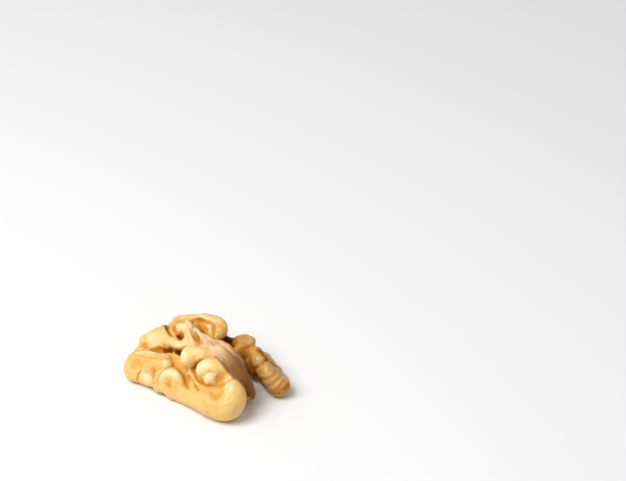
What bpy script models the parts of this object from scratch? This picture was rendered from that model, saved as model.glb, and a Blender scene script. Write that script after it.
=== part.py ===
"""Half kernel of a walnut, lying on its flat side.

One half of a walnut's seed: a large folded lobe and a slim one, joined by a short bridge behind
the slit in which the shell's partition stood. It grew as one piece, so it is one solid.

Frame: metres, +Z up. The slit opens towards -Y and the large lobe lies on the -X side. The
origin is the middle of the bounding box's bottom, on the surface that the kernel lies on.
"""

import math

import bmesh
import bpy
from mathutils import Vector

MM = 0.001

# Driving dimensions, in millimetres
VOXEL = 0.3                 # grain of the skin that joins the folds
SECTION_SIDES = 18          # corners of a fold's round section
CAP_RINGS = 4               # rings in a fold's rounded end
STEPS_PER_SPAN = 5          # sections from one station to the next
REST_HEIGHT = 0.0           # the undersides are flat at this height
FLOOR_CUTTER_SIDE = 60.0

SMOOTH_PASSES = 3
TRIANGLES = 10000

SKIN_COLOUR = (0.80, 0.50, 0.19, 1.0)
SKIN_ROUGHNESS = 0.42

# Each fold is a rounded ridge of flesh through its stations: the x, y and z of its centre and
# its radius there, in millimetres.
FOLDS = {
    # inner body
    "heart_left": [
        (-11.5, 0.0, 1.4, 1.8), (-9.0, 1.0, 1.8, 2.2), (-5.5, -1.5, 2.4, 2.8), (-1.5, -5.5, 2.8, 3.1),
        (2.6, -9.0, 2.9, 3.2), (3.8, -12.0, 2.3, 2.6),
    ],
    "heart_right": [
        (-7.0, 5.0, 2.2, 2.5), (-3.5, 4.0, 2.5, 2.8), (-0.5, 1.5, 2.9, 3.2), (2.0, -2.5, 3.6, 3.0),
        (4.0, -6.8, 3.8, 2.8),
    ],
    "crest_wall": [
        (-3.4, 4.2, 4.8, 1.8), (-2.0, 1.4, 5.2, 1.9), (0.0, -3.0, 6.0, 2.2), (2.6, -6.8, 6.0, 2.2),
    ],
    # front knob, a thick horseshoe round a hollow
    "front_knob": [
        (4.4, -12.7, 5.6, 1.9), (4.7, -13.9, 4.0, 2.3), (3.6, -14.8, 2.7, 2.5), (1.6, -13.9, 2.4, 2.4),
        (-0.2, -12.4, 2.3, 2.2), (-1.8, -10.8, 2.1, 2.0), (-3.3, -9.5, 1.9, 1.9),
        (-4.7, -8.5, 1.7, 1.7),
    ],
    "front_knob_foot": [
        (4.2, -13.0, 1.6, 1.9), (1.4, -12.2, 1.5, 1.8), (-2.2, -9.8, 1.3, 1.6), (-5.0, -7.6, 1.2, 1.4),
    ],
    "front_knob_floor": [(2.2, -12.4, 4.0, 1.7), (0.2, -11.0, 3.6, 1.7)],
    # two nodules beside the slit wall
    "nodule_front": [
        (-0.4, -10.0, 7.2, 1.6), (1.1, -10.0, 7.6, 1.75), (2.7, -10.4, 7.4, 1.7),
        (4.0, -10.9, 6.8, 1.3),
    ],
    "nodule_front_side": [
        (0.6, -9.0, 7.4, 1.4), (2.2, -8.8, 7.9, 1.35), (3.6, -10.2, 7.7, 1.4), (4.7, -11.3, 6.8, 1.2),
    ],
    "nodule_front_bud": [(0.4, -11.6, 6.2, 1.0), (1.6, -11.3, 6.0, 1.0)],
    "nodule_back": [
        (-3.2, -6.5, 7.2, 1.5), (-2.9, -5.8, 7.8, 1.6), (-1.8, -6.1, 7.8, 1.6),
        (-0.6, -6.5, 7.8, 1.55), (0.7, -7.0, 7.6, 1.35),
    ],
    # papery ridge along the slit
    "crest": [
        (-3.8, 7.6, 7.0, 0.45), (-2.9, 5.6, 7.3, 0.45), (-2.0, 3.0, 7.6, 0.45), (-1.0, 0.3, 8.0, 0.5),
        (0.2, -2.6, 8.6, 0.6), (1.5, -5.9, 9.2, 0.9), (3.1, -8.0, 9.2, 1.0), (4.4, -10.0, 8.6, 1.0),
        (5.8, -11.1, 7.2, 0.9), (6.8, -11.6, 5.4, 0.8), (7.3, -11.0, 3.2, 0.8),
    ],
    "slit_edge": [
        (0.4, -2.5, 8.4, 0.6), (2.0, -3.4, 8.6, 0.7), (3.3, -4.7, 8.6, 0.8), (4.5, -6.3, 8.3, 0.8),
        (5.7, -8.3, 7.6, 0.8), (6.4, -10.1, 6.6, 0.8), (7.2, -10.9, 5.0, 0.8), (7.8, -10.6, 3.0, 0.8),
        (7.7, -9.0, 1.2, 0.8),
    ],
    "slit_fill": [
        (1.2, -4.2, 7.4, 1.3), (3.2, -6.2, 7.2, 1.6), (4.6, -8.4, 6.2, 1.8), (5.6, -9.6, 4.6, 1.7),
        (6.2, -9.6, 2.6, 1.7),
    ],
    # top lobe
    "top_lobe": [
        (-6.1, 4.5, 5.8, 0.8), (-6.2, 6.4, 6.2, 0.8), (-5.2, 7.8, 6.6, 0.9), (-3.6, 7.8, 7.0, 0.8),
        (-2.0, 7.5, 7.3, 0.8), (-0.4, 7.3, 7.4, 0.95), (0.9, 6.8, 7.3, 1.0), (2.0, 6.3, 7.1, 1.15),
        (2.7, 5.1, 6.6, 1.2), (2.4, 4.2, 6.1, 1.15), (1.3, 4.0, 5.8, 1.0), (0.2, 4.4, 5.6, 0.8),
    ],
    "top_lobe_inner": [(-0.2, 5.6, 6.5, 0.95), (0.6, 5.0, 6.5, 1.0), (1.0, 4.6, 6.4, 0.9)],
    "top_lobe_floor": [(-1.8, 5.8, 5.6, 1.2), (-0.8, 4.2, 5.4, 1.4), (0.4, 3.0, 5.2, 1.5)],
    # finger that hooks round the pit
    "finger": [
        (-11.0, 5.1, 4.0, 1.2), (-9.8, 4.8, 4.5, 1.6), (-8.2, 4.5, 5.0, 2.0), (-6.7, 2.3, 5.6, 1.6),
        (-4.9, 0.0, 6.0, 0.95), (-3.5, 0.1, 6.4, 1.1), (-3.0, 1.8, 6.8, 1.1), (-3.5, 4.0, 7.0, 1.1),
        (-4.4, 5.0, 6.9, 1.0),
    ],
    "finger_lip": [
        (-11.2, 4.4, 4.1, 0.9), (-9.8, 3.7, 4.5, 1.0), (-8.3, 2.9, 4.9, 1.1), (-7.0, 2.0, 5.3, 1.1),
        (-5.6, 1.2, 5.6, 0.9),
    ],
    "finger_rib": [
        (-5.9, 6.9, 6.1, 0.5), (-6.1, 5.6, 6.3, 0.5), (-5.9, 4.4, 6.3, 0.5), (-5.5, 3.5, 6.2, 0.45),
    ],
    "finger_thumb": [(-3.7, 5.3, 6.6, 1.0), (-4.6, 5.1, 6.6, 1.1), (-5.0, 4.4, 6.3, 0.95)],
    "finger_thumb_root": [(-5.2, 6.8, 6.0, 1.0), (-4.8, 5.6, 6.0, 1.0)],
    "finger_curl_floor": [(-5.4, 6.2, 6.0, 1.0), (-4.4, 6.4, 6.2, 1.0)],
    "finger_peak": [(-7.6, 7.1, 5.2, 1.0), (-7.9, 5.6, 5.2, 1.4)],
    # far left lobe
    "left_rim": [
        (-12.9, 0.8, 3.0, 1.2), (-13.5, -0.8, 2.3, 1.3), (-13.1, -2.0, 1.6, 1.4),
        (-11.3, -2.8, 1.8, 1.6), (-9.8, -4.1, 1.8, 1.6),
    ],
    "left_foot": [(-12.2, -0.8, 1.0, 1.3), (-9.4, -3.2, 1.2, 1.5)],
    "left_top": [
        (-12.4, -0.6, 2.5, 1.7), (-11.8, -0.2, 2.8, 1.8), (-10.0, -2.0, 3.4, 1.8),
        (-8.0, -3.4, 4.0, 1.8),
    ],
    "left_ridge": [
        (-12.8, 0.7, 3.8, 0.45), (-11.3, 0.2, 4.3, 0.45), (-9.8, -0.7, 4.75, 0.5),
        (-8.4, -1.8, 5.0, 0.5), (-6.9, -3.0, 5.2, 0.6),
    ],
    "left_band": [(-12.2, 2.2, 3.6, 0.8), (-10.0, 1.4, 4.2, 0.8)],
    "left_bump": [(-7.8, -4.2, 4.6, 1.0), (-6.9, -4.4, 4.8, 0.9)],
    # lower left bulb
    "bulb": [
        (-8.4, -6.2, 1.6, 1.2), (-8.0, -5.8, 2.9, 1.3), (-6.7, -6.2, 3.9, 1.4), (-5.2, -7.4, 3.9, 1.4),
        (-4.9, -8.4, 2.7, 1.5), (-5.8, -7.9, 1.6, 1.6),
    ],
    "bulb_fill": [(-7.2, -6.6, 2.0, 1.6), (-6.4, -7.0, 2.4, 1.6)],
    "small_ridge": [(-2.9, -7.9, 5.2, 0.6), (-1.8, -9.6, 4.4, 0.7), (-0.9, -11.0, 4.2, 0.6)],
    # slim right lobe
    "slim_lobe": [
        (8.6, 0.5, 4.2, 1.35), (9.3, -2.3, 4.1, 1.4), (10.3, -4.7, 3.8, 1.6), (11.6, -6.4, 3.0, 1.8),
        (12.7, -6.9, 2.0, 2.0),
    ],
    "slim_outer": [
        (10.4, 1.8, 2.4, 1.1), (11.4, -1.5, 2.2, 1.15), (12.4, -3.9, 1.9, 1.4), (12.9, -5.7, 1.8, 1.75),
    ],
    "slim_inner": [
        (5.6, 3.4, 3.2, 1.1), (6.7, 0.8, 3.0, 1.2), (7.6, -1.0, 2.4, 1.2), (8.4, -2.3, 2.0, 0.9),
    ],
    "slim_core": [
        (7.6, 2.4, 2.4, 2.0), (9.5, 0.2, 2.8, 1.8), (10.5, -2.6, 2.8, 1.8), (11.8, -4.8, 2.4, 1.8),
    ],
    "slim_curl": [
        (5.1, 4.1, 4.2, 0.7), (5.7, 4.9, 4.6, 0.7), (6.9, 5.0, 4.8, 0.65), (8.1, 4.3, 4.6, 0.7),
        (8.2, 3.8, 4.2, 0.6),
    ],
    "slim_curl_fill": [(6.2, 4.2, 3.8, 0.9), (7.6, 4.2, 3.8, 0.9)],
    "slim_bud": [(6.7, 2.0, 4.2, 0.8), (6.3, 2.8, 4.0, 0.8)],
    "slim_foot": [(8.0, 2.4, 1.0, 1.3), (9.8, -1.2, 1.2, 1.5), (12.2, -5.8, 1.4, 1.7)],
    # bridge behind the slit
    "bridge": [(1.8, 5.6, 3.2, 1.8), (3.6, 5.6, 3.0, 1.4), (5.0, 5.2, 3.0, 1.3), (6.4, 4.2, 2.6, 1.6)],
    # back
    "back_body": [
        (-5.6, 6.6, 3.4, 2.2), (-3.4, 7.0, 4.2, 2.3), (-1.0, 6.8, 4.4, 2.3), (0.8, 5.8, 4.2, 2.1),
    ],
    "back_foot": [(-6.4, 6.6, 1.4, 1.7), (-2.6, 7.2, 1.5, 1.8), (1.0, 6.4, 1.5, 1.8)],
    "back_left": [
        (-11.4, 3.4, 2.2, 1.5), (-10.4, 5.8, 2.4, 1.7), (-8.6, 7.6, 2.8, 1.8), (-6.8, 7.8, 3.6, 1.6),
    ],
    "back_middle": [
        (-6.2, 9.0, 2.0, 1.8), (-4.4, 9.4, 2.8, 1.7), (-3.4, 8.6, 4.4, 1.5), (-1.8, 8.8, 4.2, 1.5),
        (-1.2, 9.6, 2.6, 1.7), (0.6, 9.2, 2.2, 1.8),
    ],
    "back_right": [(0.6, 7.6, 4.6, 1.4), (2.0, 7.0, 4.0, 1.5), (2.6, 6.4, 2.4, 1.7)],
    "back_slim": [(7.6, 4.6, 1.8, 1.6), (10.2, 1.6, 1.6, 1.4), (12.4, -1.8, 1.5, 1.2)],
}

# Each furrow is the same kind of run, cut out of the flesh.
FURROWS = {
    "below_finger": [
        (-11.2, 1.6, 4.6, 0.3), (-9.5, 1.2, 4.6, 0.4), (-7.7, 0.8, 4.4, 0.55), (-6.2, 0.2, 4.4, 0.75),
        (-4.9, -0.6, 4.6, 0.85), (-4.2, -1.4, 5.2, 0.75), (-3.6, -1.6, 6.2, 0.6),
        (-2.4, -1.8, 7.0, 0.5), (-1.4, -2.4, 7.7, 0.35),
    ],
    "pit": [(-4.7, 1.9, 7.0, 0.4), (-4.7, 2.2, 6.0, 0.5), (-4.7, 2.6, 5.2, 0.45)],
    "finger_to_top": [
        (-7.3, 8.0, 6.0, 0.35), (-7.1, 6.2, 6.2, 0.42), (-6.7, 4.6, 6.4, 0.38), (-6.2, 3.6, 6.6, 0.3),
    ],
    "top_hollow": [
        (-1.6, 5.6, 7.6, 0.6), (-1.1, 3.8, 7.7, 0.7), (-0.1, 1.6, 7.8, 0.75), (1.6, 0.4, 7.6, 0.9),
    ],
    "round_bulb": [
        (-8.8, -7.2, 2.3, 0.25), (-8.6, -6.7, 3.8, 0.28), (-7.7, -6.4, 4.9, 0.3),
        (-6.2, -6.1, 5.4, 0.35), (-4.8, -5.9, 5.0, 0.35), (-3.9, -7.3, 4.9, 0.38),
        (-3.3, -8.5, 4.3, 0.38), (-3.4, -10.3, 4.0, 0.25),
    ],
    "beside_hook": [
        (-3.1, 5.1, 7.8, 0.3), (-2.5, 3.0, 7.9, 0.35), (-2.0, 1.3, 7.9, 0.4), (-1.8, -0.1, 7.8, 0.45),
        (-1.9, -1.3, 7.6, 0.4),
    ],
    "above_front_knob": [
        (0.5, -12.5, 5.4, 0.3), (2.0, -12.8, 5.8, 0.35), (2.9, -12.7, 6.8, 0.35),
        (4.1, -12.8, 7.3, 0.3), (5.2, -12.4, 7.2, 0.25),
    ],
}


def catmull_rom(a, b, c, d, t):
    """Point at share t of the way from b to c, on the smooth curve through a, b, c and d."""
    return 0.5 * (
        2 * b + (c - a) * t + (2 * a - 5 * b + 4 * c - d) * t**2 + (3 * b - a - 3 * c + d) * t**3
    )


def smooth_route(stations):
    """The run's stations with smooth steps between them, as (centre, radius) pairs."""
    points = [Vector(station) for station in stations]
    before_first = 2 * points[0] - points[1]
    after_last = 2 * points[-1] - points[-2]
    ends = [before_first, *points, after_last]
    route = []
    for i in range(len(points) - 1):
        for step in range(STEPS_PER_SPAN):
            route.append(catmull_rom(*ends[i:i + 4], step / STEPS_PER_SPAN))
    route.append(points[-1])
    return [(p.xyz, p.w) for p in route]


def rounded_end(centre, radius, way):
    """Sections of the half ball that closes a run at centre, from its tip back to the run."""
    sections = []
    for i in range(CAP_RINGS, 0, -1):
        angle = math.pi / 2 * i / (CAP_RINGS + 0.5)
        sections.append((centre + way * radius * math.sin(angle), radius * math.cos(angle)))
    return sections


def add_run(bm, stations):
    """Adds one closed round bar with rounded ends to bm, along the stations."""
    route = smooth_route(stations)
    centres = [centre for centre, radius in route]
    start_way = (centres[1] - centres[0]).normalized()
    end_way = (centres[-1] - centres[-2]).normalized()
    sections = [(*section, start_way) for section in rounded_end(*route[0], -start_way)]
    for i, (centre, radius) in enumerate(route):
        following = centres[min(i + 1, len(centres) - 1)]
        way = (following - centres[max(i - 1, 0)]).normalized()
        sections.append((centre, radius, way))
    sections += [(*section, end_way) for section in reversed(rounded_end(*route[-1], end_way))]

    side = start_way.orthogonal().normalized()
    rings = []
    for centre, radius, way in sections:
        side = (side - way * side.dot(way)).normalized()
        other = way.cross(side)
        ring = []
        for k in range(SECTION_SIDES):
            turn = 2 * math.pi * k / SECTION_SIDES
            out = side * math.cos(turn) + other * math.sin(turn)
            ring.append(bm.verts.new((centre + out * radius) * MM))
        rings.append(ring)
    for low, high in zip(rings, rings[1:]):
        for k in range(SECTION_SIDES):
            n = (k + 1) % SECTION_SIDES
            bm.faces.new((low[k], low[n], high[n], high[k]))
    bm.faces.new(rings[0][::-1])
    bm.faces.new(rings[-1])


def linked(name, bm):
    """A new object of this name in the scene, with the mesh that bm holds."""
    mesh = bpy.data.meshes.new(name)
    bm.to_mesh(mesh)
    bm.free()
    obj = bpy.data.objects.new(name, mesh)
    bpy.context.scene.collection.objects.link(obj)
    return obj


def bundle(name, runs):
    """One object that holds a bar for each run."""
    bm = bmesh.new()
    for stations in runs.values():
        add_run(bm, stations)
    return linked(name, bm)


def as_cutter(obj):
    """Marks the object as a helper that only cuts."""
    obj.hide_render = True
    obj.display_type = "WIRE"
    return obj


def join_by_remesh(obj, label):
    """Gives the object's overlapping bars one skin."""
    remesh = obj.modifiers.new(label, "REMESH")
    remesh.mode = "VOXEL"
    remesh.voxel_size = VOXEL * MM
    remesh.use_smooth_shade = True


def cut_away(obj, cutter, label):
    """Takes the cutter's shape out of the object."""
    cut = obj.modifiers.new(label, "BOOLEAN")
    cut.operation = "DIFFERENCE"
    cut.object = cutter


def apply_modifiers(obj):
    """Puts the object's shape after its modifiers into its mesh, and removes them."""
    bpy.context.view_layer.update()
    shaped = obj.evaluated_get(bpy.context.evaluated_depsgraph_get())
    old = obj.data
    obj.data = bpy.data.meshes.new_from_object(shaped)
    obj.modifiers.clear()
    bpy.data.meshes.remove(old)
    obj.data.name = obj.name


def floor_cutter():
    """A block whose top is the surface that the kernel lies on."""
    bm = bmesh.new()
    bmesh.ops.create_cube(bm, size=FLOOR_CUTTER_SIDE * MM)
    drop = Vector((0, 0, (REST_HEIGHT - FLOOR_CUTTER_SIDE / 2) * MM))
    bmesh.ops.translate(bm, verts=bm.verts, vec=drop)
    return as_cutter(linked("floor_cutter", bm))


def stand_on_origin(obj):
    """Moves the mesh so that the origin is the middle of its box's bottom."""
    xs, ys, zs = zip(*(vertex.co for vertex in obj.data.vertices))
    middle = Vector(((min(xs) + max(xs)) / 2, (min(ys) + max(ys)) / 2, min(zs)))
    for vertex in obj.data.vertices:
        vertex.co -= middle


def skin_material():
    """The plain tan of the seed's skin."""
    material = bpy.data.materials.new("kernel_skin")
    material.use_nodes = True
    shader = material.node_tree.nodes["Principled BSDF"]
    shader.inputs["Base Color"].default_value = SKIN_COLOUR
    shader.inputs["Roughness"].default_value = SKIN_ROUGHNESS
    shader.inputs["Metallic"].default_value = 0.0
    return material


def build_kernel():
    """The folds joined, creased, smoothed, flattened underneath and put on the origin."""
    furrows = as_cutter(bundle("furrow_cutter", FURROWS))
    join_by_remesh(furrows, "join furrows")

    kernel = bundle("kernel", FOLDS)
    join_by_remesh(kernel, "join folds")
    cut_away(kernel, furrows, "cut furrows")
    join_by_remesh(kernel, "even out")
    smooth = kernel.modifiers.new("round creases", "SMOOTH")
    smooth.factor = 0.5
    smooth.iterations = SMOOTH_PASSES
    apply_modifiers(kernel)

    thin = kernel.modifiers.new("thin out", "DECIMATE")
    kernel.data.calc_loop_triangles()
    thin.ratio = TRIANGLES / len(kernel.data.loop_triangles)
    cut_away(kernel, floor_cutter(), "flatten underside")
    apply_modifiers(kernel)

    stand_on_origin(kernel)
    kernel.data.shade_smooth()
    kernel.data.materials.clear()
    kernel.data.materials.append(skin_material())
    return kernel


for leftover in list(bpy.data.objects):
    bpy.data.objects.remove(leftover)
kernel = build_kernel()
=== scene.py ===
"""A shelled walnut kernel half lying on its flat side, on a pale floor under soft studio light.

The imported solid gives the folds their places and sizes. A fine copy of it gets its creases, thin
ridges, papery wall and wrinkled skin here, and one procedural finish. Lengths are in metres, apart
from the numbers of the marks, which are in millimetres and count from MARK_ZERO.
"""

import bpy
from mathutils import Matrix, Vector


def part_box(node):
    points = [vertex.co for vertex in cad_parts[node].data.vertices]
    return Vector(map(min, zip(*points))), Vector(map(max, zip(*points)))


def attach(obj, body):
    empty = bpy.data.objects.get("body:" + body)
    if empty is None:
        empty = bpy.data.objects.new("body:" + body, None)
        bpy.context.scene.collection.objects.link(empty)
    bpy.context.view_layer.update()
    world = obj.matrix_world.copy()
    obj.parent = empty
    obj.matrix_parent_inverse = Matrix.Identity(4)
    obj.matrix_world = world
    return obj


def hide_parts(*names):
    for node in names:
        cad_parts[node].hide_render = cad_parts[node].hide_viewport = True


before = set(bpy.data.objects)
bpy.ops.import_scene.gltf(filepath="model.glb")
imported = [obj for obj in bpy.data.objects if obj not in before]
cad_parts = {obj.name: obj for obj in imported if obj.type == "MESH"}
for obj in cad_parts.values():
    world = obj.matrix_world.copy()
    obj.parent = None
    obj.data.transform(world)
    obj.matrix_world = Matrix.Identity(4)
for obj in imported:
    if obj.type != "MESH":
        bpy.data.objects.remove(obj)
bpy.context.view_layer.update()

import logging
import math
from dataclasses import dataclass, field
from enum import Enum

import bmesh
import bpy
import numpy as np
from mathutils import Matrix, Vector
from mathutils.bvhtree import BVHTree
from mathutils.kdtree import KDTree

MM = 0.001
MARK_ZERO = np.array((0.072, 2.986, 0.0))  # mm; the point under the slit that the marks count from

log = logging.getLogger("walnut_kernel")

Colour = tuple[float, float, float]
Point = tuple[float, float, float]
Route = tuple[Point, ...]
Socket = bpy.types.NodeSocket
Sockets = dict[str, Socket]
Range = tuple[float, float]


# ---- marks worked into the flesh


class Mark(Enum):
    """What one line does to the flesh under it."""

    CREASE = "a narrow fold line with soft shoulders"
    HOLLOW = "a broad dip"
    RIDGE = "a raised fold or swelling"
    # Used for stains, painted shade and painted highlights, which change only the colour.
    SKIN = "a change of the skin's colour, and none of its shape"


@dataclass(frozen=True)
class Line:
    """One line worked into the flesh along the surface nearest its points.

    Fields: mark is what it does, width its half width and depth its height in mm, points its route
    in mm, brown how far it browns the skin, which holds stains and painted shade, and pale how far it
    makes the skin paler, which holds paler skin and painted highlights.
    """

    mark: Mark
    width: float
    depth: float
    points: Route
    brown: float = 0.0
    pale: float = 0.0


def crease(width: float, depth: float, brown: float, *points: Point) -> Line:
    """A narrow fold line that browns the skin along it: partly the skin's own brown, partly painted
    shade in the fold.
    """
    return Line(Mark.CREASE, width, depth, points, brown)


def hollow(width: float, depth: float, brown: float, *points: Point) -> Line:
    """A broad dip that browns the skin in it: partly the skin's own brown, partly painted shade in the
    dip.
    """
    return Line(Mark.HOLLOW, width, depth, points, brown)


def ridge(width: float, depth: float, pale: float, *points: Point) -> Line:
    """A raised fold or swelling that makes the skin paler along it: partly paler skin, partly a
    painted highlight.
    """
    return Line(Mark.RIDGE, width, depth, points, pale=pale)


def stain_and_shade(width: float, brown: float, *points: Point) -> Line:
    """A stretch of browned skin: a stain in some places and painted shade in others."""
    return Line(Mark.SKIN, width, 0.0, points, brown)


def painted_highlight(width: float, pale: float, *points: Point) -> Line:
    """A painted highlight: a stretch of paler skin where the light falls brightest."""
    return Line(Mark.SKIN, width, 0.0, points, pale=pale)


FINGER_LINES = (
    crease(0.24, 0.16, 0.3, (-10.7, 5.2, 5.7), (-10.9, 4.2, 5.3), (-11.0, 3.8, 4.7),
        (-10.7, 3.5, 4.0)),
    crease(0.2, 0.08, 0.15, (-11.5, 5.1, 5.0), (-11.6, 4.3, 4.6), (-11.4, 3.9, 4.2)),
    crease(0.36, 0.62, 1.15, (-7.3, 7.3, 5.9), (-7.1, 5.3, 6.6), (-6.7, 3.6, 7.0), (-6.4, 2.5, 7.1),
        (-6.1, 1.7, 7.0)),
    crease(0.26, 0.38, 0.65, (-5.7, 5.8, 6.9), (-5.8, 4.6, 6.9), (-5.7, 3.7, 6.8),
        (-5.3, 3.2, 6.4)),
    crease(0.5, 0.35, 0.72, (-11.6, 2.6, 4.2), (-10.6, 1.8, 4.6), (-9.7, 1.2, 4.5),
        (-8.4, 1.2, 4.2), (-7.0, 1.0, 4.1), (-5.9, 0.3, 4.3), (-4.6, 0.1, 4.3)),
    crease(0.2, 0.08, 0.15, (-9.0, 3.2, 5.9), (-8.3, 2.3, 5.6), (-7.2, 1.2, 5.3)),
    hollow(0.5, 0.35, 1.1, (-5.2, 3.0, 6.0), (-4.7, 3.1, 5.7), (-4.4, 3.0, 6.0)),
    # Painted shade: brown in the trench under the finger.
    stain_and_shade(0.75, 1.3, (-6.6, -0.1, 5.1), (-5.85, -0.45, 5.25), (-5.2, -0.8, 5.3)),
    stain_and_shade(0.8, 1.1, (-7.4, 1.0, 4.1), (-6.0, 0.4, 4.2), (-5.0, 0.0, 4.3), (-4.2, -0.8, 4.7)),
    # Painted highlights on the finger's lit tops and on the thumb.
    painted_highlight(1.1, 0.7, (-11.2, 4.1, 5.2), (-9.9, 3.4, 5.5), (-8.8, 2.4, 5.8), (-7.6, 1.2, 6.0)),
    painted_highlight(0.8, 0.7, (-7.3, 0.9, 6.1), (-5.7, -0.2, 6.6), (-4.6, -0.9, 6.7), (-3.4, -0.9, 6.9),
        (-2.7, -0.2, 7.2), (-2.5, 0.9, 7.6), (-2.7, 2.4, 7.8)),
    painted_highlight(0.9, 0.95, (-5.3, 4.1, 6.9), (-4.5, 4.0, 7.6), (-3.5, 3.4, 7.9)),
)
LEFT_LOBE_LINES = (
    ridge(0.3, 0.3, 0.9, (-12.8, 0.4, 4.3), (-11.9, 0.2, 4.6), (-10.3, -0.6, 5.0),
        (-8.8, -1.6, 5.3)),
    ridge(0.5, 0.18, 0.35, (-8.8, -1.7, 5.4), (-7.6, -2.2, 5.4), (-6.6, -2.6, 5.3)),
    crease(0.24, 0.2, 0.65, (-12.9, -0.1, 4.1), (-11.3, -1.4, 4.8), (-10.0, -2.4, 5.2),
        (-8.6, -3.3, 5.6)),
    ridge(0.85, 0.3, 0.5, (-7.9, -4.5, 5.4), (-7.2, -4.6, 5.4), (-6.6, -4.4, 5.4)),
    crease(0.26, 0.16, 0.35, (-8.5, -3.9, 5.6), (-7.3, -3.6, 5.6), (-6.2, -3.5, 5.3)),
    crease(0.2, 0.24, 0.65, (-11.5, -3.5, 3.3), (-12.0, -3.9, 2.5), (-12.2, -4.1, 1.7),
        (-12.2, -3.6, 0.8)),
    crease(0.42, 0.16, 0.75, (-9.1, -4.6, 4.2), (-9.3, -5.0, 3.4), (-9.4, -5.7, 2.8),
        (-9.3, -6.5, 2.3)),
    hollow(0.8, 0.18, 0.0, (-10.6, -4.0, 3.4), (-10.7, -4.5, 2.4)),
    crease(0.2, 0.08, 0.25, (-10.6, -2.2, 5.1), (-10.3, -3.2, 4.6), (-10.2, -4.0, 3.9)),
    # Painted highlight on the left lobe's lit bulge.
    painted_highlight(0.8, 0.75, (-10.9, -3.6, 3.8), (-10.6, -5.0, 2.6), (-10.1, -5.6, 1.4)),
    stain_and_shade(1.6, 0.48, (-12.4, -1.8, 4.2), (-10.8, -3.0, 4.7), (-9.0, -3.4, 5.4)),
)
BULB_LINES = (
    crease(0.3, 0.32, 0.5, (-8.9, -7.2, 2.0), (-8.5, -6.6, 3.9), (-7.8, -6.3, 4.8),
        (-6.6, -5.8, 5.2), (-5.4, -5.1, 4.6)),
    crease(0.5, 0.15, 0.82, (-5.2, -5.3, 4.6), (-4.6, -7.0, 5.0), (-3.9, -7.8, 4.3),
        (-3.5, -9.2, 3.7), (-3.3, -10.4, 3.6)),
    ridge(0.7, 0.24, 0.8, (-8.1, -7.4, 3.0), (-7.4, -7.2, 4.5), (-6.2, -7.5, 5.1),
        (-5.2, -8.2, 5.0), (-4.6, -9.1, 4.0)),
    hollow(0.65, 0.22, 0.35, (-7.0, -8.4, 2.6), (-6.6, -8.4, 3.4)),
    crease(0.24, 0.3, 0.9, (-3.1, -8.3, 5.1), (-2.6, -9.5, 4.7), (-1.9, -10.9, 4.3),
        (-1.4, -12.0, 4.3)),
    ridge(0.28, 0.22, 0.5, (-3.6, -7.9, 4.2), (-3.1, -9.2, 4.0), (-2.5, -10.6, 4.0)),
)
NODULE_LINES = (
    crease(0.3, 0.3, 0.8, (-1.9, -6.9, 5.8), (-1.6, -7.4, 6.8), (-1.0, -8.2, 7.9),
        (-0.1, -8.9, 8.7), (0.9, -9.3, 9.1), (1.6, -9.5, 9.2)),
    crease(0.22, 0.06, 0.12, (-2.9, -6.6, 8.9), (-3.1, -7.3, 8.3), (-3.3, -7.9, 7.4)),
    crease(0.24, 0.12, 0.35, (-0.7, -11.6, 6.6), (-0.3, -11.6, 7.3), (0.5, -11.6, 7.8),
        (1.8, -11.9, 7.8)),
    # The bud's ridge carries a painted highlight.
    ridge(0.8, 0.26, 1.1, (-0.6, -11.9, 6.7), (0.5, -12.1, 6.9), (1.6, -12.1, 6.9)),
    crease(0.32, 0.22, 0.7, (-2.1, -8.8, 5.3), (-1.3, -9.8, 4.9), (-0.5, -11.0, 5.0),
        (0.6, -12.5, 5.5), (1.9, -12.7, 5.6)),
    crease(0.3, 0.34, 0.65, (1.9, -12.7, 5.6), (3.0, -13.4, 6.5), (3.9, -13.3, 7.2),
        (5.2, -12.8, 7.2)),
    # Painted highlights on the lit sides and tops of the two nodules.
    painted_highlight(1.1, 0.9, (-3.4, -5.6, 9.1), (-3.9, -5.9, 8.9), (-4.3, -6.4, 8.4), (-4.3, -7.1, 7.8),
        (-3.9, -7.7, 7.2)),
    painted_highlight(0.9, 0.55, (-3.3, -6.0, 9.3), (-1.9, -6.5, 9.3), (-0.6, -7.1, 9.2)),
    painted_highlight(1.2, 0.95, (-1.6, -11.2, 7.2), (-1.6, -10.9, 7.8), (-1.2, -10.5, 8.5),
        (-0.3, -10.2, 8.9), (0.8, -10.0, 9.1)),
)
KNOB_LINES = (
    hollow(0.95, 0.28, 0.35, (0.7, -13.6, 4.7), (1.5, -14.6, 4.7), (2.0, -15.4, 4.6)),
    ridge(0.8, 0.12, 0.25, (3.6, -14.6, 6.0), (4.2, -15.2, 4.8)),
    crease(0.2, 0.06, 0.12, (2.6, -16.6, 3.6), (3.6, -16.4, 3.9), (4.6, -15.8, 3.9)),
    # Painted highlight on the knob's lit top.
    painted_highlight(1.2, 0.5, (2.8, -13.7, 6.3), (3.6, -14.3, 6.2), (4.4, -15.3, 5.8)),
)
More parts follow.
